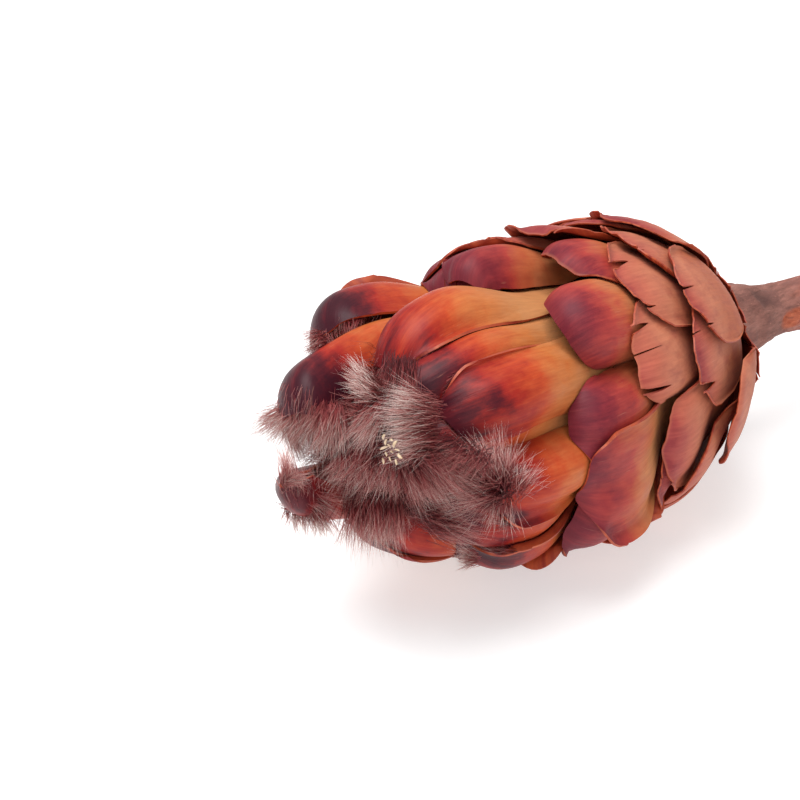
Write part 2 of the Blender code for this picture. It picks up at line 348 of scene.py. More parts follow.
def smoothShading(piece, angle):
    bpy.ops.object.select_all(action="DESELECT")
    piece.select_set(True)
    bpy.context.view_layer.objects.active = piece
    bpy.ops.object.shade_smooth_by_angle(angle=math.radians(angle))


def openCracks(piece, cracks):
    # a split runs from the tip's edge down a column, and gapes most at the edge
    for place, length, gape, lip in cracks:
        shape = bmesh.new()
        shape.from_mesh(piece.data)
        share = shape.verts.layers.float["share"]
        depth = shape.verts.layers.float["depth"]
        columns = sorted({round(vert[share], 4) for vert in shape.verts})
        column = min(columns, key=lambda value: abs(value - place))
        line = {vert for vert in shape.verts if abs(vert[share] - column) < 0.001 and vert[depth] < length}
        edges = [edge for edge in shape.edges if edge.verts[0] in line and edge.verts[1] in line]
        reach = max((vert[depth] for vert in line), default=0)
        if not edges:
            shape.free()
            continue
        bmesh.ops.split_edges(shape, edges=edges)
        for vert in shape.verts:
            if abs(vert[share] - column) < 0.001 and vert[depth] < reach - 0.01 and vert.link_faces:
                middle = sum(sum(corner[share] for corner in face.verts) / len(face.verts) for face in vert.link_faces)
                side = math.copysign(1, middle / len(vert.link_faces) - column)
                opening = (1 - vert[depth] / reach) ** 0.8
                local = toHead(vert.co)
                turn = math.atan2(local[1], local[0])
                local += side * opening * gape / 2 * np.array([-math.sin(turn), math.cos(turn), 0])
                if side > 0:
                    local += opening * lip * np.array([math.cos(turn), math.sin(turn), 0])
                vert.co = toWorld(local)
        shape.to_mesh(piece.data)
        shape.free()


def makeBract(name, sheet, look):
    # one bract: a grid bent over what lies beneath it, cracked, and given its wall
    tip, blade = sheet["tip"] + look.get("longer", 0), sheet["blade"] * look.get("wider", 1.08)
    foot = sheet["heights"][0]
    shape = {key: look.get(key, shapeOf(key, tip)) for key in bractShape}
    across, along = bractGrid["across"], bractGrid["hidden"] + bractGrid["shown"]
    piece, row, column = gridSheet(name, across, along)
    shown = min(shape["exposed"] + 6, 0.8 * (tip - foot))
    split = 1 - shown / (tip - foot)
    fractions = np.concatenate([np.linspace(0, split, bractGrid["hidden"] + 1)[:-1],
                                split + (1 - split) * (1 - (1 - np.linspace(0, 1, bractGrid["shown"] + 1)) ** 1.35)])
    u = np.sin(np.linspace(-1, 1, across + 1) * 1.35)[None, :] / math.sin(1.35)
    square = bractGrid["square"]
    fall = 1 - np.clip(1 - np.abs(u) ** square, 0, 1) ** (1 / square)
    fall = shape["pointed"] * np.abs(u) + (1 - shape["pointed"]) * fall
    seed = look["seed"]
    wobble = np.array([noise.noise(Vector((value * 3.1, seed, 0))) + 0.6 * noise.noise(Vector((value * 9, seed, 5)))
                       for value in u[0]])[None, :]
    ends = tip - look.get("nose", bractGrid["nose"]) * blade * fall + shape["ragged"] * 1.6 * wobble
    if "cut" in look:   # a tip broken off straight
        ends = np.minimum(ends, tip - look["cut"] + 0.5 * wobble)
    heights = foot + fractions[:, None] * (ends - foot)
    rise = easeIn(heights, 0, min(bractGrid["rise"], bractGrid["riseShare"] * tip))
    widths = bractGrid["claw"] + (blade - bractGrid["claw"]) * rise
    base = curveThrough(sheet["heights"], sheet["radii"], heights)
    slope = (sheet["radii"][-1] - sheet["radii"][-3]) / (sheet["heights"][-1] - sheet["heights"][-3])
    base = base + np.clip(heights - sheet["heights"][-1], 0, None) * slope
    bend = look.get("bend", 0) * easeIn(fractions, 0.4, 1.0)[:, None]
    middle = sheet["middle"] + look.get("turn", 0) * easeIn(fractions, 0, 0.6)[:, None] + bend
    angles = middle + np.degrees(u * widths / np.maximum(base, 7.0))
    toEdge = np.minimum((1 - np.abs(u)) * widths * 1.15, ends - heights)
    depth = (tip - heights) / shape["exposed"]
    window = easeIn(1.2 - depth, 0, 0.4)
    puff = easeIn(1.12 - depth, 0, 0.7) * (1 - 0.12 * easeIn(0.3 - depth, 0, 0.3))
    nearEdge = np.clip(1 - toEdge / shape["roundness"], 0, 1)
    roll = np.where(tip < 54, nearEdge**2.5, 1 - np.sqrt(np.clip(1 - nearEdge**2.2, 0, 1)))
    radii = base - shape["sink"] * easeIn(heights, 12, 34) + shape["crown"] * puff * (1 - np.abs(u) ** 2.4)
    radii -= shape["curl"] * np.clip(1 - depth / 0.5, 0, 1) ** 2
    ripple = np.array([[noise.noise(Vector((x * 1.7, y * 0.05, seed))) for x in u[0]] for y in heights[:, 0]])
    radii += look.get("ripple", 0.35) * window * ripple
    beneath = underneath(angles, heights)
    gap = 0.1
    rest = np.maximum(beneath + gap + shape["edgeGap"] * (1 + look.get("lift", 0)) * nearEdge, radii - shape["tuck"])
    radii = radii * (1 - window * roll) + rest * window * roll
    lift = np.clip(beneath + gap - radii, 0, None)
    radii += windowed(windowed(lift, 2, np.max), 2, np.mean)
    radii = np.maximum(windowed(radii, 1, np.mean), beneath + gap)
    radii += look.get("open", 0) * easeIn(heights, tip - 0.7 * shape["exposed"], tip) ** 2
    thick = shape["thinEdge"] + (1 - shape["thinEdge"]) * easeIn(toEdge, 0, 2.0)
    marks = {"fromTip": np.clip(depth, 0, 1.3), "rim": easeIn(1 - toEdge / 0.5, 0, 1) * (tip < 56), "thick": thick,
             "share": u, "depth": ends - heights, "tint": look.get("tint", 0)}
    grid = around(angles, heights, radii)
    finishSheet(piece, row, column, grid, marks, (u * widths, heights, seed * 7.3), look.get("cracks", []),
                shape["wall"])
    steep = np.sqrt(1 + (np.gradient(radii, axis=0) / np.maximum(np.gradient(heights, axis=0), 0.2)) ** 2)
    pileUp(angles, heights, radii + shape["wall"] * thick * np.minimum(steep, 2.5))
    builtBracts[name] = {"grid": grid, "wall": shape["wall"], "u": u, "heights": heights, "tip": tip}
    return piece


def finishSheet(piece, row, column, grid, marks, leaf, cracks, wall):
    # puts a flat grid in its place, gives it what its material reads, cracks it and makes it thick
    piece.data.vertices.foreach_set("co", toWorld(grid)[row, column].ravel().astype(np.float32))
    for name, values in marks.items():
        setAttribute(piece.data, name, np.broadcast_to(values, grid.shape[:2])[row, column])
    leaf = np.stack(np.broadcast_arrays(*leaf), axis=-1)
    setAttribute(piece.data, "leaf", leaf[row, column], "FLOAT_VECTOR")
    openCracks(piece, cracks)
    giveWall(piece, wall)


def giveWall(piece, wall):
    # the outer face keeps slot 0, the inner one and the edges get slot 1
    thick = np.empty(len(piece.data.vertices))
    piece.data.attributes["thick"].data.foreach_get("value", thick)
    group = piece.vertex_groups.new(name="thick")
    steps = np.round(thick * 20).astype(int)
    for step in np.unique(steps):
        group.add(np.where(steps == step)[0].tolist(), step / 20, "REPLACE")
    for helper in ("share", "depth", "thick"):
        piece.data.attributes.remove(piece.data.attributes[helper])
    for material in bractPaint[:2]:
        piece.data.materials.append(material)
    applyModifier(piece, "SOLIDIFY", thickness=wall * mm, offset=1.0, use_even_offset=False, vertex_group="thick",
                  material_offset=1, material_offset_rim=1)
    piece.vertex_groups.clear()
    smoothShading(piece, 50)


def kindOf(tip):
    return "low" if tip < 57 else "middle" if tip < 80 else "long"


# what sets single bracts apart. cracks: (place across, length, gape, lift of one lip)
bractLooks = {
    1: {"crown": 1.4, "lift": 2.0, "open": 0.6},
    4: {"cracks": [(0.35, 4, 0.5, 0.3)], "lift": 1.6, "longer": -4},
    5: {"crown": 2.5, "wider": 1.15},
    8: {"crown": 2.5, "wider": 1.2, "longer": 2, "lift": 1.5},
    7: {"cracks": [(0.1, 5, 0.5, 0.4), (-0.6, 4, 0.8, 0.2)], "lift": 1.6, "open": 0.5},
    9: {"cracks": [(0.45, 3.5, 0.35, 0.2), (-0.55, 5.5, 1.8, 0.3)], "lift": 1.5, "open": 0.6},
    12: {"longer": -7},
    14: {"cracks": [(-0.3, 3, 0.4, 0.3)], "lift": 1.5, "open": 0.4, "longer": -4},
    16: {"cracks": [(-0.6, 4, 0.6, 0.2)], "lift": 1.0, "longer": -2, "turn": -5},
    19: {"cracks": [(0.45, 5.5, 1.9, 0.2), (-0.5, 3.5, 0.5, 0.5)], "lift": 0.8, "longer": -2, "turn": 3},
    21: {"cracks": [(-0.5, 4, 0.7, 0.3)], "lift": 1.4, "open": 0.8, "turn": 6, "longer": -6},
    22: {"cracks": [(0.2, 3, 0.4, 0.2)], "lift": 1.0, "longer": -7, "turn": 2, "crown": 3.5},
    23: {"cracks": [(0.5, 5.5, 1.5, 0.2), (0.1, 6, 0.3, 0.1), (-0.6, 6, 1.0, 0.5)], "cut": 1.5, "longer": -2},
    24: {"crown": 4.5},
    26: {"longer": -3},
    28: {"longer": -7, "turn": 3},
    31: {"turn": 4, "longer": -1, "crown": 4.2},
    32: {"turn": 6, "longer": -4, "crown": 8.5, "wider": 1.2, "open": 1.0},
    34: {"longer": -8, "wider": 1.15, "turn": -3},
    35: {"longer": -10},
    36: {"turn": 27, "longer": -8, "wider": 0.75},
    37: {"longer": -7.5, "turn": -4, "wider": 1.2},
    38: {"crown": 3.5, "longer": -5},
    39: {"cracks": [(-0.3, 2, 0.25, 0.1), (-0.5, 2, 0.25, 0.1)], "turn": 15, "longer": -11},
    42: {"longer": -5, "turn": -8, "wider": 0.95},
    43: {"longer": -6, "turn": -9, "crown": 7.5},
    44: {"longer": -6},
    45: {"curl": 0, "turn": 17, "wider": 1.2, "open": 1.5, "longer": -4, "crown": 8.0},
    46: {"longer": -3.5, "wider": 1.1, "bend": 0, "turn": -6},
    47: {"longer": -8},
    48: {"longer": 3, "wider": 0.95, "crown": 3.0},
    49: {"longer": -5, "turn": 16, "wider": 1.3},
    50: {"longer": -7, "turn": -11, "wider": 1.2, "crown": 6.5},
    51: {"longer": -9},
    52: {"longer": -6},
    53: {"longer": -4, "crown": 3.5},
    54: {"longer": -7},
    55: {"longer": -16},
    56: {"curl": 0, "longer": 1.5, "turn": 29, "wider": 1.0, "open": 4.5},
    57: {"longer": 4, "curl": 0},
}
bractPaint = []   # the material of the outer face and of the inside for the bract being built


def makeBracts():
    # innermost first, so that each one is bent over those beneath it
    materials = {kind: bractMaterial(kind) for kind in bractColours}
    inside = insideMaterial()
    nodes = sorted(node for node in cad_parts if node.startswith("bract_"))
    startStack()
    for node in reversed(nodes):
        number = int(node[-2:])
        sheet = readSheet(node)
        draws = dice.uniform(-1, 1, 6)
        look = {"seed": number * 1.37, "bend": 2.0 * draws[0], "tint": 0.10 * draws[1],
                "lift": 0.5 * draws[2], "ripple": 0.35 + 0.15 * draws[3]}
        if sheet["tip"] < 56:
            look["tint"] *= 2
        if sheet["tip"] < 56 and draws[4] > 0.1:
            look["cracks"] = [(0.7 * draws[5], 3.5 + 1.5 * draws[4], 0.5, 0.3)]
        look.update(bractLooks.get(number, {}))
        kind = kindOf(sheet["tip"])
        bractPaint[:] = [materials[kind], inside]
        piece = makeBract(f"{node}_leaf", sheet, look)
        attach(piece, "root")
        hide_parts(node)
    print("bracts", len(nodes))


# (height, radius) and (height, sideways, up) of the woody stem, from its cut end up
stemProfile = [(-243, 6.0), (-241, 6.9), (-225, 6.8), (-200, 6.4), (-176, 6.2), (-160, 6.4), (-151, 7.2),
               (-146, 8.4), (-141, 8.7), (-133, 8.0), (-125, 6.9), (-117, 5.9), (-98, 5.5), (-60, 5.6),
               (-30, 5.6), (-14, 6.0), (-9, 7.4), (-2, 8.4), (1, 9.2), (4, 11.4), (8, 13.4), (14, 14.6),
               (20, 13.8), (24, 11.4), (27, 6.5), (28, 2.0)]
stemCourse = [(-243, -22.6, 0.0), (-207, -21.6, -0.6), (-170, -20.7, 0.4), (-143, -19.8, 1.2),
              (-124, -19.4, 1.0), (-97, -14.4, 0.6), (-70, -9.9, 0.6), (-42, -6.8, 0.8), (-24, -4.4, 0.6),
              (-10, -1.6, 0.2), (-4, -0.4, 0.0), (0, 0.0, 0.0), (4, 0.0, 0.0), (28, 0.0, 0.0)]
stemGrid = {"around": 64, "step": 0.62, "capRows": 7}


def barkNoise(heights, turn, widths, pitch, shift, octaves=1):
    # noise over the stem's surface: how often it changes round the stem and along it
    field = np.zeros((len(heights), turn.shape[1]))
    for i, height in enumerate(heights):
        for j in range(turn.shape[1] - 1):
            at = Vector((math.cos(turn[0, j]) * widths + shift, math.sin(turn[0, j]) * widths, height * pitch + shift))
            field[i, j] = noise.noise(at) if octaves == 1 else noise.fractal(at, 0.9, 2.2, octaves)
    field[:, -1] = field[:, 0]
    return field


def makeStem():
    columns, capRows = stemGrid["around"], stemGrid["capRows"]
    lowest, highest = stemProfile[0][0], stemProfile[-1][0]
    heights = np.arange(lowest, highest, stemGrid["step"])
    along = len(heights) + 2 * capRows - 1
    stem, row, column = gridSheet("woody_stem", columns, along)
    heights = np.concatenate([np.full(capRows, lowest), heights, np.full(capRows, highest)])
    shares = np.concatenate([np.linspace(0, 1, capRows, endpoint=False), np.ones(len(heights) - 2 * capRows),
                             np.linspace(1, 0, capRows + 1)[1:]])
    turn = np.radians(np.arange(columns + 1) / columns * 360)[None, :]
    profile = curveThrough(*zip(*stemProfile), heights)[:, None]
    sideways = curveThrough([p[0] for p in stemCourse], [p[1] for p in stemCourse], heights)[:, None]
    up = curveThrough([p[0] for p in stemCourse], [p[2] for p in stemCourse], heights)[:, None]
    near = easeIn(heights, -45, -12)[:, None]
    bark = 0.18 * barkNoise(heights, turn, 4.2, 0.11, 0, 4) + 0.40 * barkNoise(heights, turn, 1.1, 0.06, 9)
    bare = easeIn(barkNoise(heights, turn, 2.7, 0.12, 4), 0.26, 0.32) * (1 - near)
    crust = easeIn(barkNoise(heights, turn, 3.3, 0.2, 23), 0.25, 0.31) * (1 - bare)
    torn = easeIn(np.exp(-((heights[:, None] + 19) / 5) ** 2 - ((np.degrees(turn) - 266) / 26) ** 2), 0.3, 0.6)
    fibres = barkNoise(heights, turn, 6.5, 0.5, 40)
    bare = np.maximum(bare, torn)
    bark += 0.22 * crust - 0.26 * bare + 0.9 * torn * fibres
    knot = np.exp(-((heights + 141) / 8.5) ** 2)[:, None]
    knotWave = heights[:, None] + 1.6 * np.sin(2 * turn) + 1.1 * np.sin(5 * turn + 1) + 2.5 * fibres
    rings = np.abs(np.sin(knotWave * 0.95))
    bark += knot * (1.5 * (1 - rings) ** 1.5 - 0.4)
    collar = np.exp(-((heights + 2) / 5.0) ** 2)[:, None]
    collarRings = np.abs(np.sin((heights[:, None] + 0.9 * np.sin(3 * turn)) * 0.8))
    bark += collar * (0.5 * (1 - collarRings) - 0.15)
    scars = np.zeros_like(bark)
    for place, angle, size in stemScars:
        apart = (np.degrees(turn) - angle + 180) % 360 - 180
        dx = np.radians(apart) * profile / size
        dy = (heights[:, None] - place) / (size * 1.1)
        lip = np.exp(-((np.hypot(dx, dy * 1.2) - 0.9) ** 2) / 0.05) * (dy > -0.4)
        bark += 0.55 * lip + 0.5 * np.exp(-(dx**2 + (dy - 0.9) ** 2) / 0.35) - 0.3 * np.exp(-(dx**2 + dy**2) / 0.25)
        scars = np.maximum(scars, np.exp(-(dx**2 + dy**2) / 0.5))
    slit = np.exp(-((heights[:, None] + 222) / 7) ** 4 - ((np.degrees(turn) - 285) / 9) ** 2)
    bark += 0.9 * np.exp(-((heights[:, None] + 222) / 9) ** 4 - ((np.degrees(turn) - 305) / 16) ** 2) - 2.2 * slit
    scars = np.maximum(scars, 1.3 * slit)
    ragged = 0.9 * np.sin(3 * turn + 0.6) + 0.6 * np.sin(7 * turn) + 0.5 * np.sin(11 * turn + 2)
    ragged = ragged + 2.4 * fibres + 1.4 * np.cos(turn - 1)
    nearCut = np.exp(-((heights - lowest) / 3.0) ** 2)[:, None]
    radii = (profile + bark * (shares[:, None] ** 4)) * shares[:, None]
    pith = 0.5 * np.cos(np.clip(shares[:, None], 0, 1) * 22) * (shares[:, None] < 1) * (heights[:, None] < 0)
    z = heights[:, None] - nearCut * (ragged * shares[:, None] ** 2 + pith * 0.3)
    xs, ys = up + radii * np.cos(turn), sideways + radii * np.sin(turn)
    world = toWorld(np.stack(np.broadcast_arrays(xs, ys, z), axis=-1))
    stem.data.vertices.foreach_set("co", world[row, column].ravel().astype(np.float32))
    wood = (shares[:, None] < 0.97) & (heights[:, None] < 0)
    for name, values in {"bare": bare, "crust": crust, "scar": scars, "cutWood": wood, "nearHead": near}.items():
        setAttribute(stem.data, name, np.broadcast_to(values, bark.shape)[row, column])
    bpy.ops.object.mode_set(mode="EDIT")
    bpy.ops.mesh.select_all(action="SELECT")
    bpy.ops.mesh.remove_doubles(threshold=0.00001)
    bpy.ops.mesh.normals_make_consistent(inside=False)
    bpy.ops.object.mode_set(mode="OBJECT")
    smoothShading(stem, 60)
    stem.data.materials.append(barkMaterial())
    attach(stem, "root")
    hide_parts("stem")
    print("stem", len(stem.data.polygons))


# old leaf scars: (height, angle, size)
stemScars = [(-9.5, -38, 3.8), (-36, 60, 3.0), (-43, -60, 2.8), (-58, 150, 3.2), (-66, -20, 3.0), (-80, 85, 2.6),
             (-88, -120, 3.0), (-101, 20, 2.8), (-111, -75, 3.0), (-120, 140, 3.0), (-158, -30, 3.4),
             (-163, 100, 2.8), (-170, -140, 3.2), (-184, 30, 3.0), (-190, -80, 2.8), (-205, 130, 3.2),
             (-212, -20, 3.0), (-222, 70, 2.8), (-230, -110, 3.0), (-29, -150, 3.0), (-73, -100, 2.6)]


def barkMaterial():
    material, tree, shader = startMaterial("bark")
    place = addNode(tree, "TexCoord").outputs["Object"]
    bare = addNode(tree, "Attribute", attribute_name="bare").outputs["Fac"]
    scar = addNode(tree, "Attribute", attribute_name="scar").outputs["Fac"]
    cut = addNode(tree, "Attribute", attribute_name="cutWood").outputs["Fac"]
    near = addNode(tree, "Attribute", attribute_name="nearHead").outputs["Fac"]
    crust = addNode(tree, "Attribute", attribute_name="crust").outputs["Fac"]
    fine = grainOf(tree, place, (0.25, 1, 1), 1400, 6.0, 0.7)
    broad = grainOf(tree, place, (0.4, 1, 1), 120, 4.0)
    specks = grainOf(tree, place, (0.6, 1, 1), 2600, 2.0)
    colour = addRamp(tree, broad, [(0.32, (0.13, 0.035, 0.025)), (0.47, (0.28, 0.060, 0.040)),
                                   (0.58, (0.36, 0.085, 0.055)), (0.7, (0.40, 0.13, 0.11))])
    grey = addRamp(tree, broad, [(0.3, (0.18, 0.075, 0.060)), (0.5, (0.31, 0.135, 0.105)), (0.7, (0.40, 0.20, 0.17))])
    colour = mixColours(tree, near, colour, grey)
    shade = addRamp(tree, fine, [(0.3, (0.6,)), (0.65, (1.12,))])
    colour = mixColours(tree, 1.0, colour, shade, "MULTIPLY")
    peeled = addRamp(tree, fine, [(0.3, (0.34, 0.065, 0.030)), (0.7, (0.58, 0.15, 0.065))])
    colour = mixColours(tree, calculate(tree, "MULTIPLY", bare, 0.85), colour, peeled)
    colour = mixColours(tree, calculate(tree, "MULTIPLY", crust, 0.55), colour, (0.16, 0.065, 0.055, 1))
    colour = mixColours(tree, calculate(tree, "MULTIPLY", scar, 0.75), colour, (0.05, 0.022, 0.020, 1))
    dots = addRamp(tree, specks, [(0.68, (0.0,)), (0.74, (0.5,))])
    colour = mixColours(tree, dots, colour, (0.55, 0.25, 0.17, 1))
    colour = mixColours(tree, cut, colour, (0.50, 0.30, 0.17, 1))
    tree.links.new(colour, shader.inputs["Base Color"])
    shader.inputs["Roughness"].default_value = 0.78
    shader.inputs["Specular IOR Level"].default_value = 0.3
    bumpOn(tree, shader, calculate(tree, "ADD", fine, calculate(tree, "MULTIPLY", specks, 0.3)), 0.7, 0.5 * mm)
    return material


def hairPattern(parts):
    # one hair: a three-sided cone cut along its length, whose points are combed below
    bpy.ops.object.select_all(action="DESELECT")
    bpy.ops.mesh.primitive_cone_add(vertices=3, radius1=1, radius2=0, depth=1, location=(0, 0, 0.5))
    cone = bpy.context.object
    bpy.ops.object.mode_set(mode="EDIT")
    for cut in range(1, parts):
        bpy.ops.mesh.select_all(action="SELECT")
        bpy.ops.mesh.bisect(plane_co=(0, 0, cut / parts), plane_no=(0, 0, 1))
    bpy.ops.mesh.select_all(action="SELECT")
    bpy.ops.mesh.quads_convert_to_tris()
    bpy.ops.object.mode_set(mode="OBJECT")
    points = np.array([vert.co for vert in cone.data.vertices]) + np.array([0, 0, 0.5])
    faces = np.array([list(face.vertices) for face in cone.data.polygons])
    bpy.data.objects.remove(cone, do_unlink=True)
    return points, faces


def joinTips(roots, ways, lengths, curls, hold, size):
    # hairs near each other end together, in wisps
    groups = max(3, len(roots) // size)
    leaders = dice.choice(len(roots), groups, replace=False)
    nearest = np.argmin(((roots[:, None, :] - roots[leaders][None, :, :]) ** 2).sum(axis=2), axis=1)
    ends = roots + lengths[:, None] * (ways + curls)
    goal = ends[leaders][nearest]
    return curls + hold * (goal - ends) / lengths[:, None]


def combHairs(name, batches, parts, material):
    # every hair leaves its root along its way and curves to its end
    roots, ways, lengths, widths, curls, pale = (np.concatenate(items) for items in zip(*batches))
    points, faces = hairPattern(parts)
    count = len(roots)
    helper = np.where(np.abs(ways[:, 2:3]) < 0.8, np.array([[0, 0, 1.0]]), np.array([[1.0, 0, 0]]))
    side = np.cross(ways, helper)
    side /= np.linalg.norm(side, axis=1, keepdims=True)
    other = np.cross(ways, side)
    t = np.clip(points[:, 2], 0, 1)
    corner = points[:, :2] / np.maximum(np.hypot(points[:, 0], points[:, 1]), 1e-6)[:, None]
    line = roots[:, None, :] + lengths[:, None, None] * (t[None, :, None] * ways[:, None, :]
                                                          + (t**2)[None, :, None] * curls[:, None, :])
    off = (widths[:, None] * ((1 - t) ** 0.6)[None, :] / 2)[:, :, None]
    co = line + off * (corner[None, :, :1] * side[:, None, :] + corner[None, :, 1:] * other[:, None, :])
    world = toWorld(co.reshape(-1, 3))
    allFaces = (faces[None, :, :] + (np.arange(count) * len(points))[:, None, None]).reshape(-1, 3)
    mesh = bpy.data.meshes.new(name)
    mesh.vertices.add(len(world))
    mesh.vertices.foreach_set("co", world.ravel().astype(np.float32))
    mesh.loops.add(len(allFaces) * 3)
    mesh.loops.foreach_set("vertex_index", allFaces.ravel().astype(np.int32))
    mesh.polygons.add(len(allFaces))
    mesh.polygons.foreach_set("loop_start", np.arange(0, len(allFaces) * 3, 3, dtype=np.int32))
    mesh.update(calc_edges=True)
    mesh.shade_smooth()
    setAttribute(mesh, "along", np.tile(t, count))
    setAttribute(mesh, "tone", np.repeat(dice.uniform(0, 1, count), len(points)))
    setAttribute(mesh, "pale", np.repeat(pale, len(points)))
    piece = bpy.data.objects.new(name, mesh)
    bpy.context.scene.collection.objects.link(piece)
    mesh.materials.append(material)
    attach(piece, "root")
    print(name, count, "hairs", len(allFaces), "triangles")
    return piece


def furMaterial():
    material, tree, shader = startMaterial("fur")
    along = addNode(tree, "Attribute", attribute_name="along").outputs["Fac"]
    tone = addNode(tree, "Attribute", attribute_name="tone").outputs["Fac"]
    pale = addNode(tree, "Attribute", attribute_name="pale").outputs["Fac"]
    place = calculate(tree, "ADD", along, calculate(tree, "MULTIPLY", calculate(tree, "SUBTRACT", tone, 0.5), 0.5))
    # each batch's own shift along the colour ramp is added here; the core fur's strongly negative shift is painted
    # shade
    place = calculate(tree, "ADD", place, pale)
    # colour along each hair, dark maroon at the root to pale cream at the tip: partly the hairs' own colour, partly
    # painted shade that darkens the roots lying deep in the fur
    colour = addRamp(tree, place, [(0.0, (0.07, 0.006, 0.009)), (0.22, (0.22, 0.022, 0.025)),
                                   (0.45, (0.36, 0.085, 0.080)), (0.7, (0.48, 0.20, 0.18)), (0.9, (0.62, 0.38, 0.34)),
                                   (1.0, (0.82, 0.68, 0.62))])
    tree.links.new(colour, shader.inputs["Base Color"])
    shader.inputs["Roughness"].default_value = 0.5
    shader.inputs["Specular IOR Level"].default_value = 0.35
    return material


def unit(ways):
    return ways / np.maximum(np.linalg.norm(ways, axis=-1, keepdims=True), 1e-9)


def liningOf(name, count, deep, spread):
    # places on a bract's inner face near its tip, with the way to the tip there
    grid = builtBracts[name]["grid"]
    rows, columns = grid.shape[0], grid.shape[1]
    v = 1 - deep * dice.uniform(0, 1, count) ** 1.5
    x, y = (dice.uniform(-spread, spread, count) + 1) / 2 * (columns - 1), v * (rows - 1)
    i, j = np.minimum(y.astype(int), rows - 2), np.minimum(x.astype(int), columns - 2)
    fy, fx = (y - i)[:, None], (x - j)[:, None]
    roots = (grid[i, j] * (1 - fy) * (1 - fx) + grid[i + 1, j] * fy * (1 - fx)
             + grid[i, j + 1] * (1 - fy) * fx + grid[i + 1, j + 1] * fy * fx)
    return roots, unit(grid[np.minimum(i + 2, rows - 1), j] - grid[np.clip(i - 4, 0, None), j])


# fur inside the bract tips: bract, hairs, length, lean to the axis
liningFur = [(57, 900, 7.5, 0.5), (56, 900, 7.5, 0.5), (55, 800, 8.0, 0.6), (54, 700, 7.5, 0.5),
             (53, 700, 8.0, 0.5), (52, 700, 7.0, 0.4), (51, 800, 8.0, 0.6), (50, 500, 6.0, 0.6),
             (49, 600, 7.0, 0.8), (48, 900, 8.0, 0.5), (47, 700, 8.0, 0.8), (46, 500, 6.0, 0.8),
             (45, 500, 5.0, 0.8), (44, 600, 7.0, 0.8), (43, 300, 4.0, 0.6), (42, 500, 6.0, 0.6)]
coreFur = {"count": 6500, "low": 82.0, "high": 97.0, "radius": 15.5, "length": 8.5}
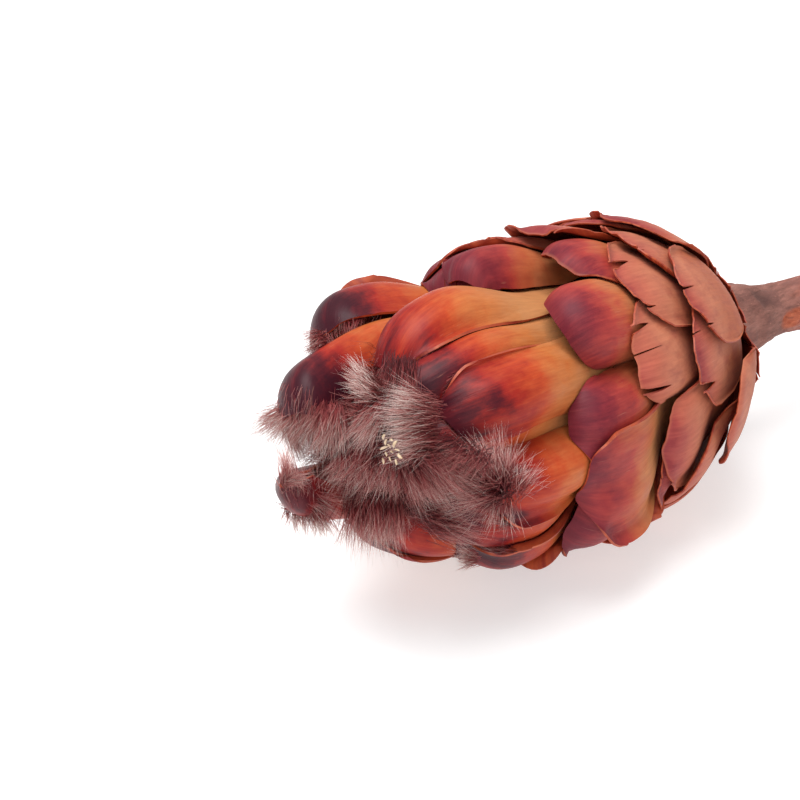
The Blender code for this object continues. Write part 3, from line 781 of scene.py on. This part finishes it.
# tufts placed as they show in the photo, in its pixels: a line of roots at a height on the head, and the way the
# hairs go at both ends of the line, as right, up and towards the camera
tufts = [
    {"from": (287, 405), "to": (342, 408), "height": 101, "aims": ((-0.85, -0.5, 0.1), (-0.05, -1, 0.3)),
     "count": 1300, "length": 8.5, "loose": 0.16, "spread": 0.7, "pale": 0.15},
    {"from": (322, 332), "to": (327, 346), "height": 91, "aims": ((-0.9, -0.3, 0.1), (-0.8, -0.6, 0.1)),
     "count": 220, "length": 4.5, "loose": 0.2, "spread": 0.5, "pale": 0.1},
    {"from": (384, 398), "to": (374, 384), "height": 99, "aims": ((-0.9, 0.25, 0.3), (-0.7, 0.6, 0.3)),
     "count": 450, "length": 6.0, "loose": 0.2, "spread": 0.8, "pale": 0.2},
    {"from": (388, 358), "to": (414, 364), "height": 94, "aims": ((-0.15, -1, 0.15), (-0.1, -1, 0.15)),
     "count": 550, "length": 8.5, "loose": 0.12, "spread": 0.7, "pale": -0.12},
    {"from": (390, 400), "to": (376, 408), "height": 99, "aims": ((-0.5, -0.8, 0.3), (-0.6, -0.8, 0.3)),
     "count": 600, "length": 8.0, "loose": 0.15, "spread": 0.9, "pale": 0.08},
    {"from": (436, 398), "to": (434, 448), "height": 97, "aims": ((-1, 0.2, 0.25), (-1, -0.25, 0.25)),
     "count": 1000, "length": 8.5, "loose": 0.2, "spread": 0.8, "pale": 0.2},
    {"from": (430, 418), "to": (430, 434), "height": 97, "aims": ((-1, 0.1, 0.5), (-1, -0.1, 0.5)),
     "count": 240, "length": 4.5, "loose": 0.25, "spread": 0.8, "pale": -0.2},
    {"from": (497, 482), "to": (503, 486), "height": 88, "aims": ((-0.7, 0.55, 0.55), (0.15, 1, 0.6)),
     "count": 850, "length": 9.0, "loose": 0.3, "spread": 1.2, "pale": 0.02},
    {"from": (497, 484), "to": (500, 492), "height": 88, "aims": ((-0.9, 0.4, 0.5), (-1, -0.35, 0.4)),
     "count": 900, "length": 10.0, "loose": 0.28, "spread": 1.2, "pale": -0.02},
    {"from": (490, 492), "to": (512, 494), "height": 87, "aims": ((-0.35, -1, 0.3), (0.1, -1, 0.3)),
     "count": 90, "length": 8.0, "loose": 0.14, "spread": 0.6, "pale": 0.2},
    {"from": (512, 482), "to": (520, 496), "height": 87, "aims": ((0.3, 0.9, 0.4), (0.6, 0.7, 0.3)),
     "count": 110, "length": 6.0, "loose": 0.25, "spread": 0.8, "pale": 0.15},
    {"from": (345, 446), "to": (402, 456), "height": 99, "aims": ((-0.4, -0.85, 0.3), (-0.2, -0.9, 0.4)),
     "count": 1100, "length": 7.5, "loose": 0.3, "spread": 1.6, "pale": 0.0},
    {"from": (283, 503), "to": (305, 488), "height": 105, "aims": ((1, -0.2, 0.2), (0.9, -0.5, 0.2)),
     "count": 420, "length": 7.5, "loose": 0.16, "spread": 0.9, "pale": 0.0},
    {"from": (288, 508), "to": (325, 514), "height": 104, "aims": ((0.1, -0.95, 0.1), (0.5, -0.9, 0.1)),
     "count": 350, "length": 5.0, "loose": 0.25, "spread": 0.6, "pale": 0.3},
    {"from": (352, 500), "to": (396, 502), "height": 99, "aims": ((-0.1, -1, 0.25), (0.05, -1, 0.25)),
     "count": 800, "length": 8.5, "loose": 0.14, "spread": 1.2, "pale": 0.03},
    {"from": (392, 458), "to": (430, 452), "height": 98, "aims": ((0.5, -0.8, 0.3), (0.7, -0.7, 0.3)),
     "count": 900, "length": 10.0, "loose": 0.16, "spread": 1.2, "pale": -0.08},
    {"from": (412, 506), "to": (438, 528), "height": 95, "aims": ((0.9, -0.35, 0.2), (0.9, -0.2, 0.2)),
     "count": 500, "length": 8.0, "loose": 0.18, "spread": 1.2, "pale": -0.05},
    {"from": (475, 552), "to": (476, 562), "height": 84, "aims": ((-0.9, 0.25, 0.1), (-0.9, -0.3, 0.1)),
     "count": 220, "length": 3.8, "loose": 0.25, "spread": 0.5, "pale": 0.25},
    {"from": (446, 444), "to": (488, 454), "height": 93, "aims": ((-0.6, -0.4, 0.5), (-0.3, -0.3, 0.7)),
     "count": 600, "length": 6.5, "loose": 0.25, "spread": 1.0, "pale": -0.2},
]


def eyeFrame():
    # the camera's place and directions, in the head's own frame
    azimuth, elevation = math.radians(studio["azimuth"]), math.radians(studio["elevation"])
    back = np.array([math.sin(azimuth) * math.cos(elevation), -math.cos(azimuth) * math.cos(elevation),
                     math.sin(elevation)])
    right = np.array([math.cos(azimuth), math.sin(azimuth), 0])
    upward = np.cross(back, right)
    aim = toWorld((0, 0, studio["aimHeight"]))
    place = aim + (studio["depth"] * back - studio["aimRight"] * right - studio["aimUp"] * upward) * mm
    return place, right, upward, back


def seenAt(pixel, height):
    # the place at a height on the head that shows at a pixel of the 800 by 800 picture
    place, right, upward, back = eyeFrame()
    focal = studio["lens"] / 36 * 800
    ray = (pixel[0] - 400) / focal * right - (pixel[1] - 400) / focal * upward - back
    start, way = toHead(place), ray @ headTurn
    return start + way * (height - start[2]) / way[2]


def makeFur():
    material = furMaterial()
    linings, core, placed = [], [], []
    for number, count, length, lean in liningFur:
        roots, ways = liningOf(f"bract_{number:02d}_leaf", count, 0.22, 0.85)
        inward = unit(roots * np.array([-1, -1, 0]))
        ways = unit(ways + lean * inward + 0.25 * dice.normal(0, 1, (count, 3)))
        lengths = length * dice.uniform(0.55, 1.1, count)
        curls = joinTips(roots, ways, lengths, 0.3 * inward + dice.normal(0, 0.12, (count, 3)), 0.4, 12)
        linings.append((roots, ways, lengths, dice.uniform(0.08, 0.14, count), curls, np.full(count, -0.05)))
    count = coreFur["count"]
    share = np.sqrt(dice.uniform(0, 1, count))
    heights = coreFur["high"] - (coreFur["high"] - coreFur["low"]) * share**2.5
    roots = around(dice.uniform(0, 360, count), heights, coreFur["radius"] * share)
    ways = np.array([[0, 0, 1.0]]) + 0.6 * dice.normal(0, 1, (count, 3))
    ways[:, 2] = np.abs(ways[:, 2])
    ways = unit(ways)
    lengths = coreFur["length"] * dice.uniform(0.5, 1.1, count)
    curls = joinTips(roots, ways, lengths, dice.normal(0, 0.2, (count, 3)), 0.6, 30)
    # the core fur is painted darker than the rest (-0.25 along the colour ramp): painted shade for the hollows between
    # the hairs of the dense core
    core.append((roots, ways, lengths, dice.uniform(0.08, 0.14, count), curls, np.full(count, -0.25)))
    place, right, upward, back = eyeFrame()
    axes = np.stack([right, upward, back]) @ headTurn
    for tuft in tufts:
        count = tuft["count"]
        start, end = seenAt(tuft["from"], tuft["height"]), seenAt(tuft["to"], tuft["height"])
        share = dice.uniform(0, 1, (count, 1))
        roots = start + share * (end - start) + tuft["spread"] * dice.normal(0, 0.8, (count, 3))
        first, last = (np.array(aim) @ axes for aim in tuft["aims"])
        ways = unit(first + share * (last - first))
        roots += ways * dice.uniform(-0.08, 0.22, (count, 1)) * tuft["length"]
        ways = unit(ways + 1.4 * tuft["loose"] * dice.normal(0, 1, (count, 3)))
        lengths = tuft["length"] * dice.uniform(0.4, 1.15, count)
        curls = joinTips(roots, ways, lengths, dice.normal(0, 0.14, (count, 3)), 0.4, 11)
        widths = dice.uniform(0.07, 0.13, count)
        placed.append((roots, ways, lengths, widths, curls, np.full(count, tuft["pale"])))
    combHairs("lining_fur", linings, 2, material)
    combHairs("core_fur", core, 2, material)
    combHairs("tuft_fur", placed, 2, material)


# pale anthers caught in the fur: pixels of the photo, and how high on the head they lie
antherSpots = {"pixels": [(384, 437), (386, 442), (391, 440), (384, 448), (389, 446), (395, 444), (386, 454),
                          (392, 452), (397, 450), (400, 456), (390, 459), (383, 461), (396, 462)],
               "height": 104.0, "width": 0.5, "length": 1.3}


def makeAnthers():
    # one small bean, pinched at its middle, then copied to each place with its own turn
    bpy.ops.object.select_all(action="DESELECT")
    bpy.ops.mesh.primitive_uv_sphere_add(segments=7, ring_count=5, radius=0.5)
    bean = bpy.context.object
    bpy.ops.object.mode_set(mode="EDIT")
    bpy.ops.mesh.select_all(action="SELECT")
    bpy.ops.transform.resize(value=(antherSpots["width"], antherSpots["width"] * 0.8, antherSpots["length"]))
    bpy.ops.object.mode_set(mode="OBJECT")
    shape = np.array([vert.co for vert in bean.data.vertices])
    shape[:, 0] += 0.12 * np.cos(shape[:, 2] * 3)
    sides = [list(face.vertices) for face in bean.data.polygons]
    bpy.data.objects.remove(bean, do_unlink=True)
    points, faces = [], []
    for pixel in antherSpots["pixels"]:
        middle = seenAt(pixel, antherSpots["height"])
        turned = shape @ np.array(Euler(dice.uniform(-3, 3, 3)).to_matrix()) * dice.uniform(0.7, 1.1)
        faces += [[index + len(points) * len(shape) for index in side] for side in sides]
        points.append(turned + middle)
    mesh = bpy.data.meshes.new("anthers")
    mesh.from_pydata(toWorld(np.concatenate(points)).tolist(), [], faces)
    mesh.shade_smooth()
    anthers = bpy.data.objects.new("anthers", mesh)
    bpy.context.scene.collection.objects.link(anthers)
    material, tree, shader = startMaterial("anther")
    grain = grainOf(tree, addNode(tree, "TexCoord").outputs["Object"], (1, 1, 1), 900)
    colour = addRamp(tree, grain, [(0.35, (0.50, 0.33, 0.20)), (0.65, (0.78, 0.62, 0.42))])
    tree.links.new(colour, shader.inputs["Base Color"])
    shader.inputs["Roughness"].default_value = 0.6
    mesh.materials.append(material)
    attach(anthers, "root")
    print("anthers", len(points))


floretSet = {"count": 170, "foot": 30.0, "low": 80.0, "high": 97.0, "radius": 15.5, "width": 1.3}


def makeFlorets():
    # a bundle of thin florets, each a cone drawn out to a point, splayed like a brush
    points = []
    faces = []
    bpy.ops.object.select_all(action="DESELECT")
    bpy.ops.mesh.primitive_cone_add(vertices=7, radius1=0.5, radius2=0.28, depth=1, location=(0, 0, 0.5))
    cone = bpy.context.object
    bpy.ops.object.mode_set(mode="EDIT")
    bpy.ops.mesh.select_all(action="DESELECT")
    bpy.ops.object.mode_set(mode="OBJECT")
    for face in cone.data.polygons:
        face.select = face.normal.z > 0.9
    bpy.ops.object.mode_set(mode="EDIT")
    bpy.ops.mesh.extrude_region_move(TRANSFORM_OT_translate={"value": (0, 0, 0.03)})
    bpy.ops.transform.resize(value=(1.7, 1.7, 1))
    bpy.ops.mesh.extrude_region_move(TRANSFORM_OT_translate={"value": (0, 0, 0.05)})
    bpy.ops.transform.resize(value=(0.15, 0.15, 1))
    bpy.ops.object.mode_set(mode="OBJECT")
    shape = np.array([vert.co for vert in cone.data.vertices])
    sides = [list(face.vertices) for face in cone.data.polygons]
    bpy.data.objects.remove(cone, do_unlink=True)
    golden = math.pi * (3 - math.sqrt(5))
    for k in range(floretSet["count"]):
        share = math.sqrt((k + 0.5) / floretSet["count"])
        turn = k * golden
        tipHeight = floretSet["high"] - (floretSet["high"] - floretSet["low"]) * share**2.5 + dice.uniform(-1.5, 1.5)
        foot = np.array([share * 8 * math.cos(turn), share * 8 * math.sin(turn), floretSet["foot"]])
        end = np.array([share * floretSet["radius"] * math.cos(turn), share * floretSet["radius"] * math.sin(turn),
                        tipHeight])
        along = shape[:, 2:3] / shape[:, 2].max()
        body = foot + (end - foot) * along
        body[:, :2] += shape[:, :2] * floretSet["width"]
        faces += [[index + k * len(shape) for index in side] for side in sides]
        points.append(body)
    mesh = bpy.data.meshes.new("florets")
    mesh.from_pydata(toWorld(np.concatenate(points)).tolist(), [], faces)
    mesh.shade_smooth()
    florets = bpy.data.objects.new("florets", mesh)
    bpy.context.scene.collection.objects.link(florets)
    material, tree, shader = startMaterial("floret")
    place = addNode(tree, "TexCoord").outputs["Object"]
    grain = grainOf(tree, place, (1, 1, 1), 700)
    colour = addRamp(tree, grain, [(0.35, (0.12, 0.02, 0.02)), (0.65, (0.40, 0.14, 0.10))])
    tree.links.new(colour, shader.inputs["Base Color"])
    shader.inputs["Roughness"].default_value = 0.7
    mesh.materials.append(material)
    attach(florets, "root")
    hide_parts("floret_mass")
    print("florets", floretSet["count"])


# rows of the smallest scales round the foot: (tip height, count, half width, turn)
scaleRows = [(10.0, 13, 4.2, 17), (8.0, 12, 4.0, 5), (6.0, 11, 3.6, 20), (4.0, 10, 3.0, 8)]
scaleGrid = {"across": 12, "along": 14, "wall": 0.2, "layer": 0.2, "tilt": 0.08, "foot": 0.4}


def coverOf(field, wide, tall, how):
    # a running maximum or mean over the stacking map, which closes on itself round the head
    padded = np.pad(field, ((0, 0), (wide, wide)), mode="wrap")
    padded = np.pad(padded, ((tall, tall), (0, 0)), mode="edge")
    return how(np.lib.stride_tricks.sliding_window_view(padded, (2 * tall + 1, 2 * wide + 1)), axis=(2, 3))


def makeScales():
    # small scales in rings over the finished bracts, upper ring first, joined in one piece
    stackTop[:] = coverOf(coverOf(stackTop, 3, 0, np.max), 6, 1, np.mean)
    bractPaint[:] = [bpy.data.materials["bract_low"], bpy.data.materials["bract_inside"]]
    scales = []
    for layer, (tip, count, half, turn) in enumerate(scaleRows):
        for k in range(count):
            scales.append(makeScale(f"scale_{layer}_{k}", tip, half, turn + 360 * k / count, layer, k))
    bpy.ops.object.select_all(action="DESELECT")
    for scale in scales:
        scale.select_set(True)
    bpy.context.view_layer.objects.active = scales[0]
    bpy.ops.object.join()
    scales[0].name = "foot_scales"
    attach(scales[0], "root")
    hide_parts("basal_scales")
    print("scales", len(scales))


def makeScale(name, tip, half, middle, layer, k):
    # the scales lie on the covered head, each ring on the one before, measured square to its surface
    draws = dice.uniform(-1, 1, 6)
    tip += (0.5 + 0.06 * tip) * draws[0]
    scale, row, column = gridSheet(name, scaleGrid["across"], scaleGrid["along"])
    u = np.linspace(-1, 1, scaleGrid["across"] + 1)[None, :]
    v = 1 - (1 - np.linspace(0, 1, scaleGrid["along"] + 1)[:, None]) ** 1.3
    seed = 50 + 20 * layer + k * 1.3
    wobble = np.array([noise.noise(Vector((value * 2.6, seed, 0))) for value in u[0]])[None, :]
    fall = 0.35 * np.abs(u) + 0.65 * (1 - np.sqrt(np.clip(1 - u * u, 0, 1)))
    ends = tip - min(0.8 * half, 0.7 * tip) * fall + 0.8 * wobble
    heights = scaleGrid["foot"] + v * (ends - scaleGrid["foot"])
    widths = half * (0.55 + 0.45 * easeIn(v, 0, 0.7))
    base = underneath(np.full(heights.shape, middle), heights)
    angles = middle + 3 * draws[1] + np.degrees(u * widths / np.maximum(base, 8))
    base = underneath(angles, heights)
    steep = np.arctan((underneath(angles, heights + 0.7) - underneath(angles, heights - 0.7)) / 1.4)
    off = 0.1 + scaleGrid["layer"] * layer + scaleGrid["tilt"] * (1 + u) + (0.25 + 0.2 * draws[2]) * v**3
    off = off + 0.2 * (1 - u * u) * easeIn(v, 0.3, 1)
    grid = around(angles, heights - off * np.sin(steep), base + off * np.cos(steep))
    toEdge = np.minimum((1 - np.abs(u)) * widths, ends - heights)
    marks = {"fromTip": np.clip((tip - heights) / 8, 0, 1.3), "rim": easeIn(1 - toEdge / 0.5, 0, 1), "thick": 0.9,
             "share": u, "depth": ends - heights, "tint": 0.12 * draws[3]}
    cracks = [(0.5 * draws[4], 3.0, 0.6, 0.3)] if draws[5] > 0.2 else []
    finishSheet(scale, row, column, grid, marks, (u * widths, heights, seed * 7.3), cracks, scaleGrid["wall"])
    return scale


def makeStudio():
    low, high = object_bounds()
    bpy.ops.mesh.primitive_plane_add(size=24, location=(0, 0, min(0.0, low.z) - 0.02 * mm))
    floor = bpy.context.object
    floor.name = "floor"
    material, tree, shader = startMaterial("floor")
    grain = grainOf(tree, addNode(tree, "TexCoord").outputs["Object"], (1, 1, 1), 40)
    tree.links.new(addRamp(tree, grain, [(0.3, (0.61,)), (0.7, (0.63,))]), shader.inputs["Base Color"])
    shader.inputs["Roughness"].default_value = 0.9
    shader.inputs["Emission Color"].default_value = (1, 1, 1, 1)   # a light table
    shader.inputs["Emission Strength"].default_value = 0.5
    floor.data.materials.append(material)
    world = bpy.data.worlds.new("studio")
    bpy.context.scene.world = world
    world.use_nodes = True
    background = world.node_tree.nodes["Background"]
    background.inputs["Color"].default_value = (1, 1, 1, 1)
    seen = addNode(world.node_tree, "LightPath").outputs["Is Camera Ray"]
    strength = calculate(world.node_tree, "ADD", calculate(world.node_tree, "MULTIPLY", seen, 0.45), 0.5)
    world.node_tree.links.new(strength, background.inputs["Strength"])
    for name, place, size, power in (("key", (-0.4, 0.15, 1.2), 1.0, 19.0), ("fill", (-0.8, -0.9, 0.6), 0.8, 3.0)):
        bpy.ops.object.light_add(type="AREA", location=place)
        light = bpy.context.object
        light.name = name
        light.data.size = size
        light.data.energy = power
        light.rotation_euler = (Vector((-0.1, 0, 0.02)) - Vector(place)).to_track_quat("-Z", "Y").to_euler()
    place, right, upward, back = eyeFrame()
    camera = bpy.data.objects.new("camera", bpy.data.cameras.new("camera"))
    bpy.context.scene.collection.objects.link(camera)
    camera.location = place
    camera.rotation_euler = Vector(-back).to_track_quat("-Z", "Y").to_euler()
    camera.data.lens = studio["lens"]
    camera.data.sensor_width = 36
    camera.data.clip_start = 0.01
    bpy.context.scene.camera = camera
    bpy.context.scene.view_settings.view_transform = "Standard"
    print("studio")


makeBracts()
makeScales()
makeFlorets()
makeStem()
makeFur()
makeAnthers()
makeStudio()
